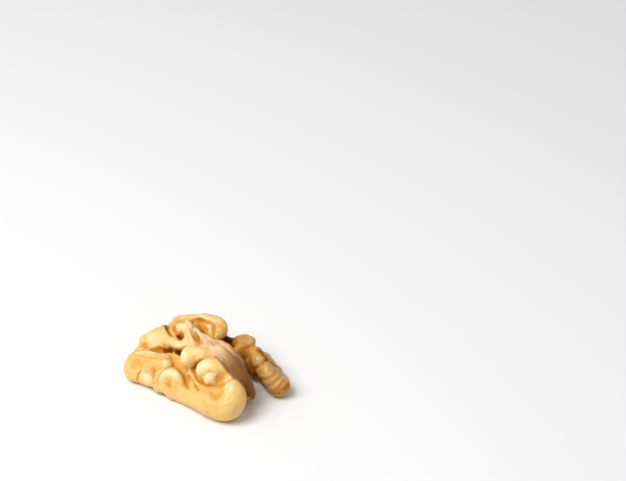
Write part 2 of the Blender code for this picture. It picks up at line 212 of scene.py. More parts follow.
WALL_LINES = (
    crease(0.45, 0.55, 0.9, (-2.6, 3.5, 7.7), (-2.1, 1.2, 7.6), (-1.6, -0.4, 7.6),
        (-1.5, -1.8, 7.6)),
    ridge(0.25, 0.4, 1.0, (-3.9, 6.8, 7.4), (-3.0, 4.3, 7.8), (-2.1, 2.4, 8.0), (-1.2, -0.1, 8.4)),
    ridge(0.22, 0.3, 0.6, (-1.0, 1.4, 8.0), (-0.2, -1.2, 8.6), (0.7, -3.6, 9.2), (1.5, -5.6, 9.6)),
    ridge(0.25, 0.3, 1.0, (0.6, -5.8, 9.0), (1.7, -7.7, 9.4), (3.0, -9.5, 9.5), (4.6, -11.0, 8.9)),
    crease(0.25, 0.3, 0.6, (-0.6, 0.4, 8.1), (0.6, -2.0, 8.5), (1.8, -4.4, 9.1), (3.2, -6.8, 9.1)),
    crease(0.22, 0.25, 0.6, (1.6, -3.4, 8.8), (3.2, -5.6, 8.9), (4.6, -8.2, 8.4),
        (5.8, -10.4, 7.4)),
    crease(0.3, 0.22, 0.5, (0.9, -6.7, 9.1), (2.0, -9.1, 9.2), (3.2, -11.2, 8.8), (4.4, -12.0, 7.8),
        (5.0, -12.8, 7.2)),
    # Brown at the wall's foot: partly its own brown, partly painted shade by the slit.
    stain_and_shade(1.1, 1.05, (6.3, -12.2, 5.8), (6.8, -12.2, 4.6), (7.4, -11.8, 3.0)),
    # Brown along the crease at the wall's edge: partly its own brown, partly painted shade in the
    # fold.
    stain_and_shade(0.9, 0.8, (-1.8, 1.8, 7.6), (-1.6, -0.6, 7.6), (-1.5, -1.8, 7.6)),
)
TOP_LOBE_LINES = (
    crease(0.4, 0.3, 0.6, (-1.6, 6.8, 7.7), (-1.2, 6.3, 7.1), (-0.7, 5.0, 6.8), (-0.2, 3.4, 6.7),
        (0.5, 2.4, 6.5)),
    ridge(0.45, 0.25, 0.8, (-1.8, 7.3, 8.1), (-0.4, 6.6, 8.0), (0.9, 5.8, 7.7), (2.0, 5.0, 7.7)),
    ridge(0.5, 0.28, 1.0, (0.1, 4.8, 6.9), (0.9, 4.5, 6.8)),
    ridge(0.45, 0.25, 0.4, (1.8, 4.0, 7.0), (2.0, 3.4, 6.8)),
    crease(0.24, 0.26, 0.5, (1.2, 5.0, 7.1), (1.3, 4.3, 6.9), (1.3, 3.2, 6.5), (1.3, 2.5, 6.3)),
    crease(0.3, 0.3, 0.5, (-1.3, 6.5, 7.5), (-0.2, 5.9, 7.3), (0.9, 5.2, 7.2), (1.7, 4.7, 7.2)),
    # Brown at the top lobe's right end and in its hollow; in the hollow it is painted shade.
    stain_and_shade(1.0, 0.62, (2.4, 4.4, 7.4), (3.0, 3.8, 7.4), (3.6, 3.0, 7.2)),
    stain_and_shade(0.9, 0.85, (-1.5, 5.6, 6.8), (-0.9, 4.4, 6.6), (-0.1, 3.0, 6.6)),
)
SLIM_LOBE_LINES = (
    crease(0.3, 0.45, 0.8, (8.4, -3.4, 3.2), (8.9, -4.7, 4.5), (9.7, -4.7, 5.3), (10.4, -3.7, 5.4),
        (11.2, -1.9, 4.5)),
    crease(0.32, 0.28, 0.65, (9.1, -5.3, 2.4), (9.9, -6.8, 3.2), (11.0, -7.6, 4.0),
        (12.0, -7.2, 4.5), (12.3, -5.8, 4.6)),
    crease(0.3, 0.18, 0.55, (9.8, -6.6, 1.6), (11.0, -8.1, 2.7), (12.0, -8.2, 3.5),
        (12.9, -7.3, 4.1), (13.3, -6.0, 3.9)),
    crease(0.24, 0.2, 0.5, (11.3, -8.3, 1.4), (12.4, -8.7, 2.5), (13.2, -8.3, 3.2),
        (13.7, -7.3, 3.5)),
    ridge(0.22, 0.22, 0.4, (13.1, -6.8, 4.1), (13.7, -7.1, 3.6), (14.2, -7.4, 2.9),
        (14.5, -7.2, 1.9)),
    crease(0.35, 0.5, 0.8, (5.9, 1.5, 4.3), (6.8, 1.5, 4.7), (7.6, 2.1, 4.5), (8.4, 3.3, 4.2)),
    crease(0.22, 0.18, 0.4, (6.2, 4.4, 5.1), (7.0, 4.3, 5.1), (7.9, 3.8, 5.0)),
    ridge(0.55, 0.2, 0.4, (9.2, -2.2, 5.4), (9.0, -3.4, 5.3)),
    ridge(0.65, 0.22, 0.35, (10.0, -5.8, 5.0), (10.9, -6.0, 4.9)),
    # Painted shade with some brown: the patch on the slim lobe's side turned from the light.
    stain_and_shade(1.1, 1.22, (9.5, -0.6, 5.3), (10.1, -1.7, 5.0), (10.8, -2.8, 4.7), (11.5, -3.6, 4.1)),
    # Painted shadow: the slim lobe's face towards the slit, in the large lobe's shade.
    stain_and_shade(2.0, 1.25, (6.2, 0.6, 3.8), (7.0, -1.3, 3.2), (7.9, -3.3, 2.4), (8.8, -5.0, 1.4)),
    # Painted shade, with the slim lobe's own brown: low on its far side and at its end.
    stain_and_shade(1.2, 0.9, (12.0, 0.2, 2.6), (12.9, -2.6, 2.4), (14.2, -5.0, 2.2)),
    stain_and_shade(1.2, 0.92, (11.6, -8.9, 1.4), (12.8, -8.9, 2.0), (13.9, -8.0, 2.4), (14.4, -6.6, 2.4)),
    stain_and_shade(1.6, 1.45, (2.4, 5.2, 4.2), (3.8, 5.2, 3.8), (5.2, 4.6, 3.6)),
)
LINES = (
    FINGER_LINES + LEFT_LOBE_LINES + BULB_LINES + NODULE_LINES + KNOB_LINES + WALL_LINES
    + TOP_LOBE_LINES + SLIM_LOBE_LINES
)

# The papery wall is a ribbon: its edge at the nodules, its middle, its crest at the slit, its foot.
WALL_ROWS: tuple[Route, ...] = (
    ((-3.5, 5.5, 7.6), (-2.6, 2.2, 7.9), (-1.2, -1.6, 8.0), (0.7, -6.2, 9.0), (2.2, -9.4, 9.2),
        (3.9, -11.6, 8.3), (5.3, -12.6, 7.2), (6.2, -12.8, 5.2), (7.0, -11.9, 2.8)),
    ((-3.1, 4.2, 7.9), (-2.0, 1.8, 7.9), (-0.3, -2.2, 8.9), (1.6, -6.6, 9.9), (3.2, -9.1, 9.9),
        (4.7, -10.9, 9.1), (5.8, -12.0, 7.5), (6.7, -12.6, 5.6), (7.4, -11.8, 3.3)),
    ((-2.2, 3.6, 7.9), (-0.6, 1.8, 7.8), (0.9, -2.5, 9.0), (3.1, -4.6, 9.3), (5.0, -6.8, 8.8),
        (6.2, -9.0, 7.9), (7.1, -11.0, 6.6), (7.8, -11.6, 5.0), (8.1, -11.3, 3.0)),
    ((-1.6, 4.0, 6.8), (0.4, 1.6, 7.0), (2.4, -1.4, 6.0), (4.6, -3.6, 5.4), (6.0, -6.2, 4.8),
        (7.0, -8.4, 4.0), (7.6, -9.6, 3.2), (8.0, -10.0, 2.4), (8.2, -10.2, 1.4)),
)


def smooth_route(points: np.ndarray, per_span: int) -> np.ndarray:
    """A Catmull-Rom line through points.

    Args:
        points: The points to pass through, one row each.
        per_span: Steps between two neighbouring points.

    Returns:
        The line's points, one row each, ends included.
    """
    padded = np.vstack((2 * points[0] - points[1], points, 2 * points[-1] - points[-2]))
    steps = np.linspace(0.0, 1.0, per_span, endpoint=False)[:, None]
    spans = []
    for a, b, c, d in zip(padded, padded[1:], padded[2:], padded[3:]):
        spans.append(
            0.5 * (2 * b + (c - a) * steps + (2 * a - 5 * b + 4 * c - d) * steps**2
                   + (3 * b - a - 3 * c + d) * steps**3)
        )
    return np.vstack((*spans, points[-1:]))


def smooth_step(values: np.ndarray, low: float, high: float) -> np.ndarray:
    """0 below low, 1 above high, and an S-curve between them."""
    share = np.clip((values - low) / (high - low), 0.0, 1.0)
    return share * share * (3 - 2 * share)


# ---- the fine mesh as arrays


@dataclass
class Flesh:
    """The kernel's fine closed mesh, held as arrays in millimetres while it is shaped.

    Fields: mesh is the Blender mesh that the points belong to; brown and pale are how far the skin is
    browned, with stains and painted shade, and made paler, with paler skin and painted highlights, at
    each point; shoulder is how far a crease's sides swell, as a share of its depth.
    Half widths of a line measure where its sides swell and how broadly (shoulder_at and
    shoulder_spread), how far it colours the skin (colour_width) and how far it is felt (reach).
    taper shapes a line's ends, samples_per_span is how finely it is drawn, and ray_lift is how far
    over the flesh a ray starts, in mm.
    """

    mesh: bpy.types.Mesh
    shoulder: float = 0.30
    shoulder_at: float = 1.9
    shoulder_spread: float = 0.5
    colour_width: float = 1.15
    taper: float = 0.4
    reach: float = 3.2
    samples_per_span: int = 14
    ray_lift: float = 0.06
    points: np.ndarray = field(init=False)
    edges: np.ndarray = field(init=False)
    neighbours: np.ndarray = field(init=False)
    brown: np.ndarray = field(init=False)
    pale: np.ndarray = field(init=False)

    def __post_init__(self) -> None:
        """Reads the mesh."""
        count = len(self.mesh.vertices)
        flat = np.empty(count * 3, np.float32)
        self.mesh.vertices.foreach_get("co", flat)
        self.points = flat.reshape(-1, 3).astype(float) / MM
        ends = np.empty(len(self.mesh.edges) * 2, np.int32)
        self.mesh.edges.foreach_get("vertices", ends)
        self.edges = ends.reshape(-1, 2)
        self.neighbours = np.bincount(ends, minlength=count)
        self.brown = np.zeros(count)
        self.pale = np.zeros(count)

    def blurred(self, values: np.ndarray, passes: int, share: float = 0.5) -> np.ndarray:
        """Values averaged with their neighbours'.

        Args:
            values: One row or one number for each point.
            passes: How many times to average.
            share: How far each pass moves a value to its neighbours' mean.

        Returns:
            The averaged values, in the same shape.
        """
        first, second = self.edges.T
        columns = [column.copy() for column in np.atleast_2d(values.T)]
        for _ in range(passes):
            for k, column in enumerate(columns):
                total = np.bincount(first, column[second], len(column))
                total += np.bincount(second, column[first], len(column))
                columns[k] = column + share * (total / self.neighbours - column)
        return np.array(columns).T if values.ndim > 1 else columns[0]

    def smooth(self, passes: int) -> None:
        """Smooths without shrinking: each pass inwards is followed by one outwards.

        Args:
            passes: How many pairs of passes to make.
        """
        inwards, outwards = 0.5, -0.52
        for _ in range(passes):
            self.points = self.blurred(self.points, 1, inwards)
            self.points = self.blurred(self.points, 1, outwards)

    def store(self) -> None:
        """Writes the points back to the mesh."""
        self.mesh.vertices.foreach_set("co", (self.points * MM).astype(np.float32).ravel())
        self.mesh.update()

    def normals(self, passes: int = 0) -> np.ndarray:
        """Outward unit normals of the points.

        Args:
            passes: How many times to average them with their neighbours'.

        Returns:
            One normal for each point.
        """
        self.store()
        flat = np.empty(len(self.points) * 3, np.float32)
        self.mesh.vertex_normals.foreach_get("vector", flat)
        found = self.blurred(flat.reshape(-1, 3).astype(float), passes)
        return found / np.linalg.norm(found, axis=1, keepdims=True).clip(1e-9)

    def relief(self, passes: int) -> np.ndarray:
        """How far each point stands above the averaged surface round it, in mm."""
        broad = self.blurred(self.points, passes)
        return ((self.points - broad) * self.normals(4)).sum(axis=1)

    def tighten(self, passes: int, into: float, out: float) -> None:
        """Draws the valleys between the folds inwards and swells the folds a little.

        Args:
            passes: How broad the surface is that the folds are measured from.
            into: Share of a valley's depth to add to it.
            out: Share of a fold's height to add to it.
        """
        height = self.relief(passes)
        gain = np.where(height < 0, into, out) * height
        self.points += self.normals(4) * self.blurred(gain, 2)[:, None]

    def work(self, lines: tuple[Line, ...]) -> None:
        """Works lines into the flesh, and browns the skin or makes it paler along them: stains,
        painted shade and painted highlights.

        Args:
            lines: The lines. Their heights add up, and the strongest brown and the strongest pale win.
        """
        tree = KDTree(len(self.points))
        for index, point in enumerate(self.points):
            tree.insert(point, index)
        tree.balance()
        normals = self.normals(6)
        height = np.zeros(len(self.points))
        for line in lines:
            self._work_line(line, tree, normals, height)
        self.points += normals * height[:, None]

    def _work_line(self, line: Line, tree: KDTree, normals: np.ndarray, height: np.ndarray) -> None:
        """Adds one line's height, brown and pale to the points near it.

        Args:
            line: The line to work in.
            tree: The points, for finding the surface nearest the line.
            normals: The points' normals.
            height: Each point's height so far, which this adds to.
        """
        wanted = np.array(line.points) + MARK_ZERO
        route = smooth_route(wanted, self.samples_per_span)
        found = [tree.find(point)[1] for point in route]
        route, facing = self.points[found], normals[found]
        route = np.vstack((route[:1], (route[:-2] + 2 * route[1:-1] + route[2:]) / 4, route[-1:]))
        reach = self.reach * line.width
        low, high = route.min(axis=0) - reach, route.max(axis=0) + reach
        near = np.flatnonzero(((self.points > low) & (self.points < high)).all(axis=1))
        apart = np.linalg.norm(self.points[near][:, None] - route[None], axis=2)
        nearest = apart.argmin(axis=1)
        share = nearest / (len(route) - 1)
        same_side = smooth_step((normals[near] * facing[nearest]).sum(axis=1), 0.0, 0.5)
        fade = np.clip(np.sin(np.pi * share), 0.0, 1.0) ** self.taper * same_side
        across = apart.min(axis=1) / line.width
        core = np.exp(-(across**2))
        sides = np.exp(-((across - self.shoulder_at) ** 2) / self.shoulder_spread)
        profile = {
            Mark.CREASE: -core + self.shoulder * sides,
            Mark.HOLLOW: -core,
            Mark.RIDGE: core,
            Mark.SKIN: 0.0 * core,
        }[line.mark]
        height[near] += line.depth * profile * fade
        spread = np.exp(-((across / self.colour_width) ** 2)) * same_side
        self.brown[near] = np.maximum(self.brown[near], line.brown * spread)
        self.pale[near] = np.maximum(self.pale[near], line.pale * spread * fade)

    def shelter(self, rays: int, reach: float, seed: int) -> np.ndarray:
        """How much of the space over each point other flesh fills, from 0 in the open to 1 shut in.

        Args:
            rays: Directions tried from each point.
            reach: How near other flesh has to be, in mm.
            seed: Seed of the directions.

        Returns:
            One number for each point.
        """
        normals = self.normals(2)
        faces = [tuple(face.vertices) for face in self.mesh.polygons]
        tree = BVHTree.FromPolygons(self.points.tolist(), faces)
        directions = np.random.default_rng(seed).normal(size=(rays, 3))
        directions /= np.linalg.norm(directions, axis=1, keepdims=True)
        starts = self.points + normals * self.ray_lift
        shut = np.zeros(len(self.points))
        for direction in directions:
            aim = direction + normals
            aim /= np.linalg.norm(aim, axis=1, keepdims=True).clip(1e-6)
            shut += [
                tree.ray_cast(start, way, reach)[0] is not None
                for start, way in zip(starts.tolist(), aim.tolist())
            ]
        return self.blurred(shut / rays, 4)

    def along_wall(self, rows: tuple[Route, ...], steps: int) -> tuple[np.ndarray, ...]:
        """Finds where each point lies on the papery wall.

        Args:
            rows: The wall's rows of points, from the nodules' side to the foot.
            steps: Points put between two rows.

        Returns:
            For each point, the distance to the wall, the distance along it and the place across it,
            all in mm.
        """
        lines = [smooth_route(np.array(row) + MARK_ZERO, self.samples_per_span) for row in rows]
        spans = np.linalg.norm(np.diff(lines[1], axis=0), axis=1)
        along = np.concatenate(([0.0], np.cumsum(spans)))
        tree = KDTree((len(lines) - 1) * steps * len(along) + len(along))
        places = []
        across = 0.0
        for above, below in zip(lines, lines[1:]):
            for step in range(steps):
                row = above + (below - above) * step / steps
                for point, place in zip(row, along):
                    tree.insert(point, len(places))
                    places.append((place, across))
                across += np.linalg.norm(below - above, axis=1).mean() / steps
        for point, place in zip(lines[-1], along):
            tree.insert(point, len(places))
            places.append((place, across))
        tree.balance()
        found = [tree.find(point) for point in self.points]
        chosen = np.array(places)[[index for _, index, _ in found]]
        away = np.array([distance for *_, distance in found])
        return away, self.blurred(chosen[:, 0], 6), self.blurred(chosen[:, 1], 6)

    def keep(self, name: str, values: np.ndarray) -> None:
        """Stores one number for each point on the mesh under name."""
        layer = self.mesh.attributes.new(name, "FLOAT", "POINT")
        layer.data.foreach_set("value", values.astype(np.float32))


# ---- node trees


class Tree:
    """Adds nodes to a node tree and links them, for shaders and Geometry Nodes alike."""

    def __init__(self, tree: bpy.types.NodeTree) -> None:
        """Starts with an empty tree."""
        self.tree = tree
        tree.nodes.clear()

    def add(self, kind: str, inputs: dict[str | int, object] | None = None,
            **settings: object) -> bpy.types.Node:
        """Adds one node.

        Args:
            kind: The node's type name.
            inputs: For each input's name or number, a socket to link from or a plain value.
            settings: The node's own settings.

        Returns:
            The node.
        """
        node = self.tree.nodes.new(kind)
        node.location = (180 * len(self.tree.nodes) % 2880, -220 * (len(self.tree.nodes) // 16))
        for name, value in settings.items():
            setattr(node, name, value)
        for name, value in (inputs or {}).items():
            if isinstance(value, Socket):
                self.tree.links.new(value, node.inputs[name])
            else:
                node.inputs[name].default_value = value
        return node

    def math(self, operation: str, first: object, second: object = 0.0) -> Socket:
        """The result of one sum on two numbers."""
        return self.add("ShaderNodeMath", {0: first, 1: second}, operation=operation).outputs[0]

    def plus(self, first: object, second: object) -> Socket:
        """first plus second."""
        return self.math("ADD", first, second)

    def minus(self, first: object, second: object) -> Socket:
        """first less second."""
        return self.math("SUBTRACT", first, second)

    def times(self, first: object, second: object) -> Socket:
        """first times second."""
        return self.math("MULTIPLY", first, second)

    def sloped(self, value: object, slope: float, start: float) -> Socket:
        """start plus slope times value."""
        inputs = {0: value, 1: slope, 2: start}
        return self.add("ShaderNodeMath", inputs, operation="MULTIPLY_ADD").outputs[0]

    def scaled(self, vector: Socket, scale: object) -> Socket:
        """A vector times a number."""
        node = self.add("ShaderNodeVectorMath", {0: vector, "Scale": scale}, operation="SCALE")
        return node.outputs[0]

    def stretched(self, vector: Socket, by: Colour) -> Socket:
        """A vector with each of its parts times a number of its own."""
        return self.add("ShaderNodeVectorMath", {0: vector, 1: by}, operation="MULTIPLY").outputs[0]

    def between(self, value: object, low: float, high: float) -> Socket:
        """0 at low, 1 at high, an S-curve between and level beyond. low may be the higher one."""
        inputs = {"Value": value, "From Min": low, "From Max": high}
        return self.add("ShaderNodeMapRange", inputs, interpolation_type="SMOOTHSTEP").outputs[0]

    def noise(self, vector: Socket, scale: object, detail: float = 2.0, roughness: float = 0.5,
              distortion: float = 0.0) -> Socket:
        """Cloudy noise from 0 to 1."""
        inputs = {"Vector": vector, "Scale": scale, "Detail": detail, "Roughness": roughness,
                  "Distortion": distortion}
        return self.add("ShaderNodeTexNoise", inputs).outputs[0]

    def veins(self, vector: Socket, scale: object, width: float, wander: float) -> Socket:
        """A branching net of thin lines, 1 on a line and 0 off it.

        Args:
            vector: Where on the surface, in mm.
            scale: Meshes of the net in a millimetre.
            width: Half width of a line, as a share of a mesh.
            wander: How far the lines stray from straight, in mm.

        Returns:
            The socket with the result.
        """
        stray = self.add("ShaderNodeTexNoise", {"Vector": vector, "Scale": 0.9, "Detail": 3.0})
        inputs = {0: stray.outputs["Color"], 1: (0.5, 0.5, 0.5)}
        centred = self.add("ShaderNodeVectorMath", inputs, operation="SUBTRACT")
        inputs = {0: vector, 1: self.scaled(centred.outputs[0], wander)}
        moved = self.add("ShaderNodeVectorMath", inputs, operation="ADD")
        inputs = {"Vector": moved.outputs[0], "Scale": scale}
        net = self.add("ShaderNodeTexVoronoi", inputs, feature="DISTANCE_TO_EDGE")
        return self.between(net.outputs["Distance"], width, 0.0)

    def mix(self, factor: object, first: object, second: object) -> Socket:
        """One colour turned into another.

        Args:
            factor: 0 for the first colour, 1 for the second.
            first: A socket or a plain colour.
            second: A socket or a plain colour.

        Returns:
            The socket with the result.
        """
        node = self.add("ShaderNodeMix", {0: factor}, data_type="RGBA")
        for name, value in (("A", first), ("B", second)):
            socket = next(s for s in node.inputs if s.name == name and s.type == "RGBA")
            if isinstance(value, Socket):
                self.tree.links.new(value, socket)
            else:
                socket.default_value = (*value, 1.0)
        return next(s for s in node.outputs if s.type == "RGBA")


# ---- finishes


@dataclass(frozen=True)
class SkinFinish:
    """The thin seed skin: golden on swellings, with painted highlights, amber in creases, which is
    painted shade, and tan and fibrous on the wall.

    Fields: the colours; the skin's roughness and gloss and how far light soaks in; the scales of its
    clouds, mottles, net and twigs, per mm; how strongly each of them shows, from 0 to 1; and ranges,
    each with the value where it starts to show and the value where it shows in full.
    """

    cream: Colour = (0.83, 0.54, 0.175)
    gold: Colour = (0.73, 0.365, 0.070)
    amber: Colour = (0.68, 0.29, 0.025)
    brown: Colour = (0.20, 0.062, 0.010)
    umber: Colour = (0.06, 0.018, 0.004)
    paper: Colour = (0.83, 0.575, 0.31)
    paper_dark: Colour = (0.52, 0.275, 0.115)
    # The colour of paler skin and of painted highlights.
    bleached: Colour = (0.95, 0.79, 0.48)
    slim_tone: Colour = (0.44, 0.215, 0.055)
    roughness: float = 0.40
    roughness_spread: float = 0.22
    dry_roughness: float = 0.28
    coat: float = 0.10
    coat_roughness: float = 0.30
    shine: float = 0.36
    dry_loss: float = 0.9
    glow: float = 0.20
    glow_tint: Colour = (1.0, 0.45, 0.16)
    glow_reach: float = 1.1 * MM
    cloud_scale: float = 0.28
    mottle_scale: float = 1.3
    speck_scale: float = 3.1
    pore_scale: float = 9.0
    net_scale: float = 0.42
    twig_scale: float = 1.1
    cloud_share: float = 0.6
    low_share: float = 0.5
    net_strength: float = 0.24
    twig_strength: float = 0.14
    speck_strength: float = 0.18
    slim_strength: float = 0.72
    hollow_mottle: float = 0.12
    gold_range: Range = (0.36, 0.62)
    blotch_range: Range = (0.42, 0.62)
    streak_range: Range = (0.42, 0.62)
    low_end: Range = (12.0, 18.5)
    slit_side: Range = (4.3, 5.8)
    bump_depth: float = 0.10 * MM
    bump_strength: float = 0.7

    # Painted shade: the masks that turn the skin amber in creases, hollows and sheltered places; where
    # each starts, where it is full, and how strongly.
    shade_amber_in: tuple[tuple[str, float, float, float], ...] = (
        ("hollow", 0.04, 0.40, 0.75),
        ("crease", 0.03, 0.14, 0.8),
        ("fine_hollow", 0.010, 0.045, 0.6),
        ("shelter", 0.40, 0.85, 0.8),
    )
    masks: tuple[str, ...] = (
        "hollow", "crease", "fine_hollow", "shelter", "wall", "along", "across", "brown", "pale",
        "slim", "low",
    )

    def material(self) -> bpy.types.Material:
        """The finish as a material.

        Returns:
            The material, which reads the numbers stored on the mesh under the names in masks.
        """
        made = bpy.data.materials.new("walnut seed skin")
        made.use_nodes = True
        tree = Tree(made.node_tree)
        place = tree.scaled(tree.add("ShaderNodeTexCoord").outputs["Object"], 1 / MM)
        mask = {
            name: tree.add("ShaderNodeAttribute", attribute_name=name).outputs["Fac"]
            for name in self.masks
        }
        streaks = self._streaks(tree, mask)
        dry = tree.math("MAXIMUM", tree.between(mask["brown"], 0.3, 1.0), mask["wall"])
        gloss = tree.sloped(dry, -self.dry_loss, 1.0)
        shader = tree.add("ShaderNodeBsdfPrincipled", {
            "Base Color": self._colour(tree, place, mask, streaks),
            "Roughness": self._roughness(tree, place, mask),
            "Normal": self._bump(tree, place, mask, streaks),
            "Coat Weight": tree.times(gloss, self.coat),
            "Coat Roughness": self.coat_roughness,
            "Specular IOR Level": tree.times(gloss, self.shine),
            "Subsurface Weight": self.glow,
            "Subsurface Radius": self.glow_tint,
            "Subsurface Scale": self.glow_reach,
        })
        tree.add("ShaderNodeOutputMaterial", {"Surface": shader.outputs[0]})
        return made

    def _streaks(self, tree: Tree, mask: Sockets) -> Socket:
        """Fibres that run along the wall.

        Args:
            tree: The shader's tree.
            mask: The numbers stored on the mesh, by name.

        Returns:
            A socket with 0 to 1.
        """
        place = tree.add("ShaderNodeCombineXYZ", {0: mask["along"], 1: mask["across"]}).outputs[0]
        coarse = tree.noise(tree.stretched(place, (0.22, 1.5, 1.0)), 1.0, 3.0, 0.6, 0.4)
        fine = tree.noise(tree.stretched(place, (0.5, 5.5, 1.0)), 1.0, 3.0, 0.6, 0.3)
        return tree.plus(tree.times(coarse, 0.6), tree.times(fine, 0.4))

    def _colour(self, tree: Tree, place: Socket, mask: Sockets, streaks: Socket) -> Socket:
        """The skin's colour: the bare skin, the wall over it, then the stains and painted shade and
        the specks on both.

        Args:
            tree: The shader's tree.
            place: Where on the kernel, in mm.
            mask: The numbers stored on the mesh, by name.
            streaks: The wall's fibres.

        Returns:
            The socket with the colour.
        """
        clouds = tree.noise(place, self.cloud_scale, 4.0, 0.6, 0.5)
        mottle = tree.noise(place, self.mottle_scale, 4.0, 0.65, 0.3)
        colour = self._bare_colour(tree, place, mask, clouds, mottle)
        colour = tree.mix(mask["wall"], colour, self._wall_colour(tree, mask, streaks))
        colour = self._stained_and_shaded(tree, mask, mottle, colour)
        specks = tree.between(tree.noise(place, self.speck_scale, 2.0, 0.5), 0.68, 0.76)
        return tree.mix(tree.times(specks, self.speck_strength), colour, self.amber)

    def _bare_colour(self, tree: Tree, place: Socket, mask: Sockets, clouds: Socket,
                     mottle: Socket) -> Socket:
        """Cream to gold, a net of amber veins, paler tops with painted highlights, and amber dips,
        which are painted shade.

        Args:
            tree: The shader's tree.
            place: Where on the kernel, in mm.
            mask: The numbers stored on the mesh, by name.
            clouds: Broad noise.
            mottle: Finer noise.

        Returns:
            The socket with the colour.
        """
        tone = tree.times(clouds, self.cloud_share)
        tone = tree.plus(tone, tree.times(mottle, 1 - self.cloud_share))
        # Golder where the surface lies low among the folds: partly the skin's own tone, partly painted
        # shade.
        tone = tree.plus(tone, tree.times(mask["low"], self.low_share))
        colour = tree.mix(tree.between(tone, *self.gold_range), self.cream, self.gold)
        net = tree.times(
            tree.veins(place, self.net_scale, 0.05, 2.2), tree.between(mottle, 0.40, 0.62)
        )
        twigs = tree.times(
            tree.veins(place, self.twig_scale, 0.06, 0.9), tree.between(clouds, 0.42, 0.62)
        )
        lines = tree.math(
            "MAXIMUM", tree.times(net, self.net_strength), tree.times(twigs, self.twig_strength)
        )
        colour = tree.mix(lines, colour, self.amber)
        # Duller brown on the slim lobe: partly its own tone, partly painted shade, as the large lobe
        # shades it.
        colour = tree.mix(tree.times(mask["slim"], self.slim_strength), colour, self.slim_tone)
        blotches = tree.sloped(tree.between(tone, *self.blotch_range), -0.5, 0.85)
        # Paler skin and painted highlights where the pale marks lie.
        colour = tree.mix(tree.times(mask["pale"], blotches), colour, self.bleached)
        uneven = tree.plus(mask["hollow"], tree.times(tree.minus(mottle, 0.5), self.hollow_mottle))
        # Painted shade: amber in the creases, hollows and sheltered places.
        for name, start, full, strength in self.shade_amber_in:
            value = uneven if name == "hollow" else mask[name]
            share = tree.times(tree.between(value, start, full), strength)
            colour = tree.mix(share, colour, self.amber)
        return colour

    def _wall_colour(self, tree: Tree, mask: Sockets, streaks: Socket) -> Socket:
        """Papery streaks, browned towards the foot and on the slit's side, partly the wall's own brown
        and partly painted shade on the side turned from the light.

        Args:
            tree: The shader's tree.
            mask: The numbers stored on the mesh, by name.
            streaks: The wall's fibres.

        Returns:
            The socket with the colour.
        """
        wall = tree.mix(tree.between(streaks, *self.streak_range), self.paper, self.paper_dark)
        # Paler fibres and painted highlights along the wall's ridges.
        wall = tree.mix(tree.times(mask["pale"], 0.85), wall, self.bleached)
        # Browner towards the foot and on the slit's side: partly the wall's own brown, partly painted
        # shade.
        low_end = tree.times(tree.between(mask["along"], *self.low_end), 0.86)
        slit_side = tree.times(tree.between(mask["across"], *self.slit_side), 0.90)
        return tree.mix(tree.math("MAXIMUM", low_end, slit_side), wall, self.brown)

    def _stained_and_shaded(self, tree: Tree, mask: Sockets, mottle: Socket, colour: Socket) -> Socket:
        """A colour with the brown marks on it, stains and painted shade alike: amber at their edges,
        then brown, then umber.

        Args:
            tree: The shader's tree.
            mask: The numbers stored on the mesh, by name.
            mottle: Noise that makes the brown marks uneven.
            colour: The colour under the stains.

        Returns:
            The socket with the colour.
        """
        # Stains and painted shade alike: the brown marks turn the colour amber, then brown, then
        # umber.
        uneven = tree.sloped(tree.between(mottle, 0.20, 0.60), 0.35, 0.65)
        stained = tree.times(mask["brown"], uneven)
        golden = tree.sloped(mask["wall"], -0.62, 0.62)
        colour = tree.mix(tree.times(tree.between(stained, 0.15, 0.75), golden), colour, self.amber)
        colour = tree.mix(tree.times(tree.between(stained, 0.50, 1.10), 0.75), colour, self.brown)
        return tree.mix(tree.between(stained, 0.95, 1.45), colour, self.umber)

    def _roughness(self, tree: Tree, place: Socket, mask: Sockets) -> Socket:
        """Waxy on the swellings, duller in the folds and on the wall.

        Args:
            tree: The shader's tree.
            place: Where on the kernel, in mm.
            mask: The numbers stored on the mesh, by name.

        Returns:
            The socket with the roughness.
        """
        lowest = self.roughness - self.roughness_spread / 2
        waxy = tree.sloped(tree.noise(place, 0.8, 3.0), self.roughness_spread, lowest)
        dull = tree.math("MAXIMUM", mask["wall"], tree.between(mask["shelter"], 0.3, 0.8))
        return tree.plus(waxy, tree.times(dull, self.dry_roughness))

    def _bump(self, tree: Tree, place: Socket, mask: Sockets, streaks: Socket) -> Socket:
        """Pores and wrinkles too fine for the mesh, and the wall's fibres.

        Args:
            tree: The shader's tree.
            place: Where on the kernel, in mm.
            mask: The numbers stored on the mesh, by name.
            streaks: The wall's fibres.

        Returns:
            The socket with the normal.
        """
        wrinkles = tree.noise(tree.stretched(place, (2.2, 2.2, 3.2)), 1.0, 4.0, 0.6, 0.8)
        pores = tree.noise(place, self.pore_scale, 2.0, 0.5)
        skin = tree.plus(tree.times(wrinkles, 0.7), tree.times(pores, 0.10))
        skin = tree.minus(skin, tree.times(tree.veins(place, self.twig_scale, 0.07, 0.9), 0.12))
        fibres = tree.times(tree.times(streaks, mask["wall"]), 3.0)
        inputs = {"Height": tree.plus(skin, fibres), "Distance": self.bump_depth,
                  "Strength": self.bump_strength}
        return tree.add("ShaderNodeBump", inputs).outputs["Normal"]


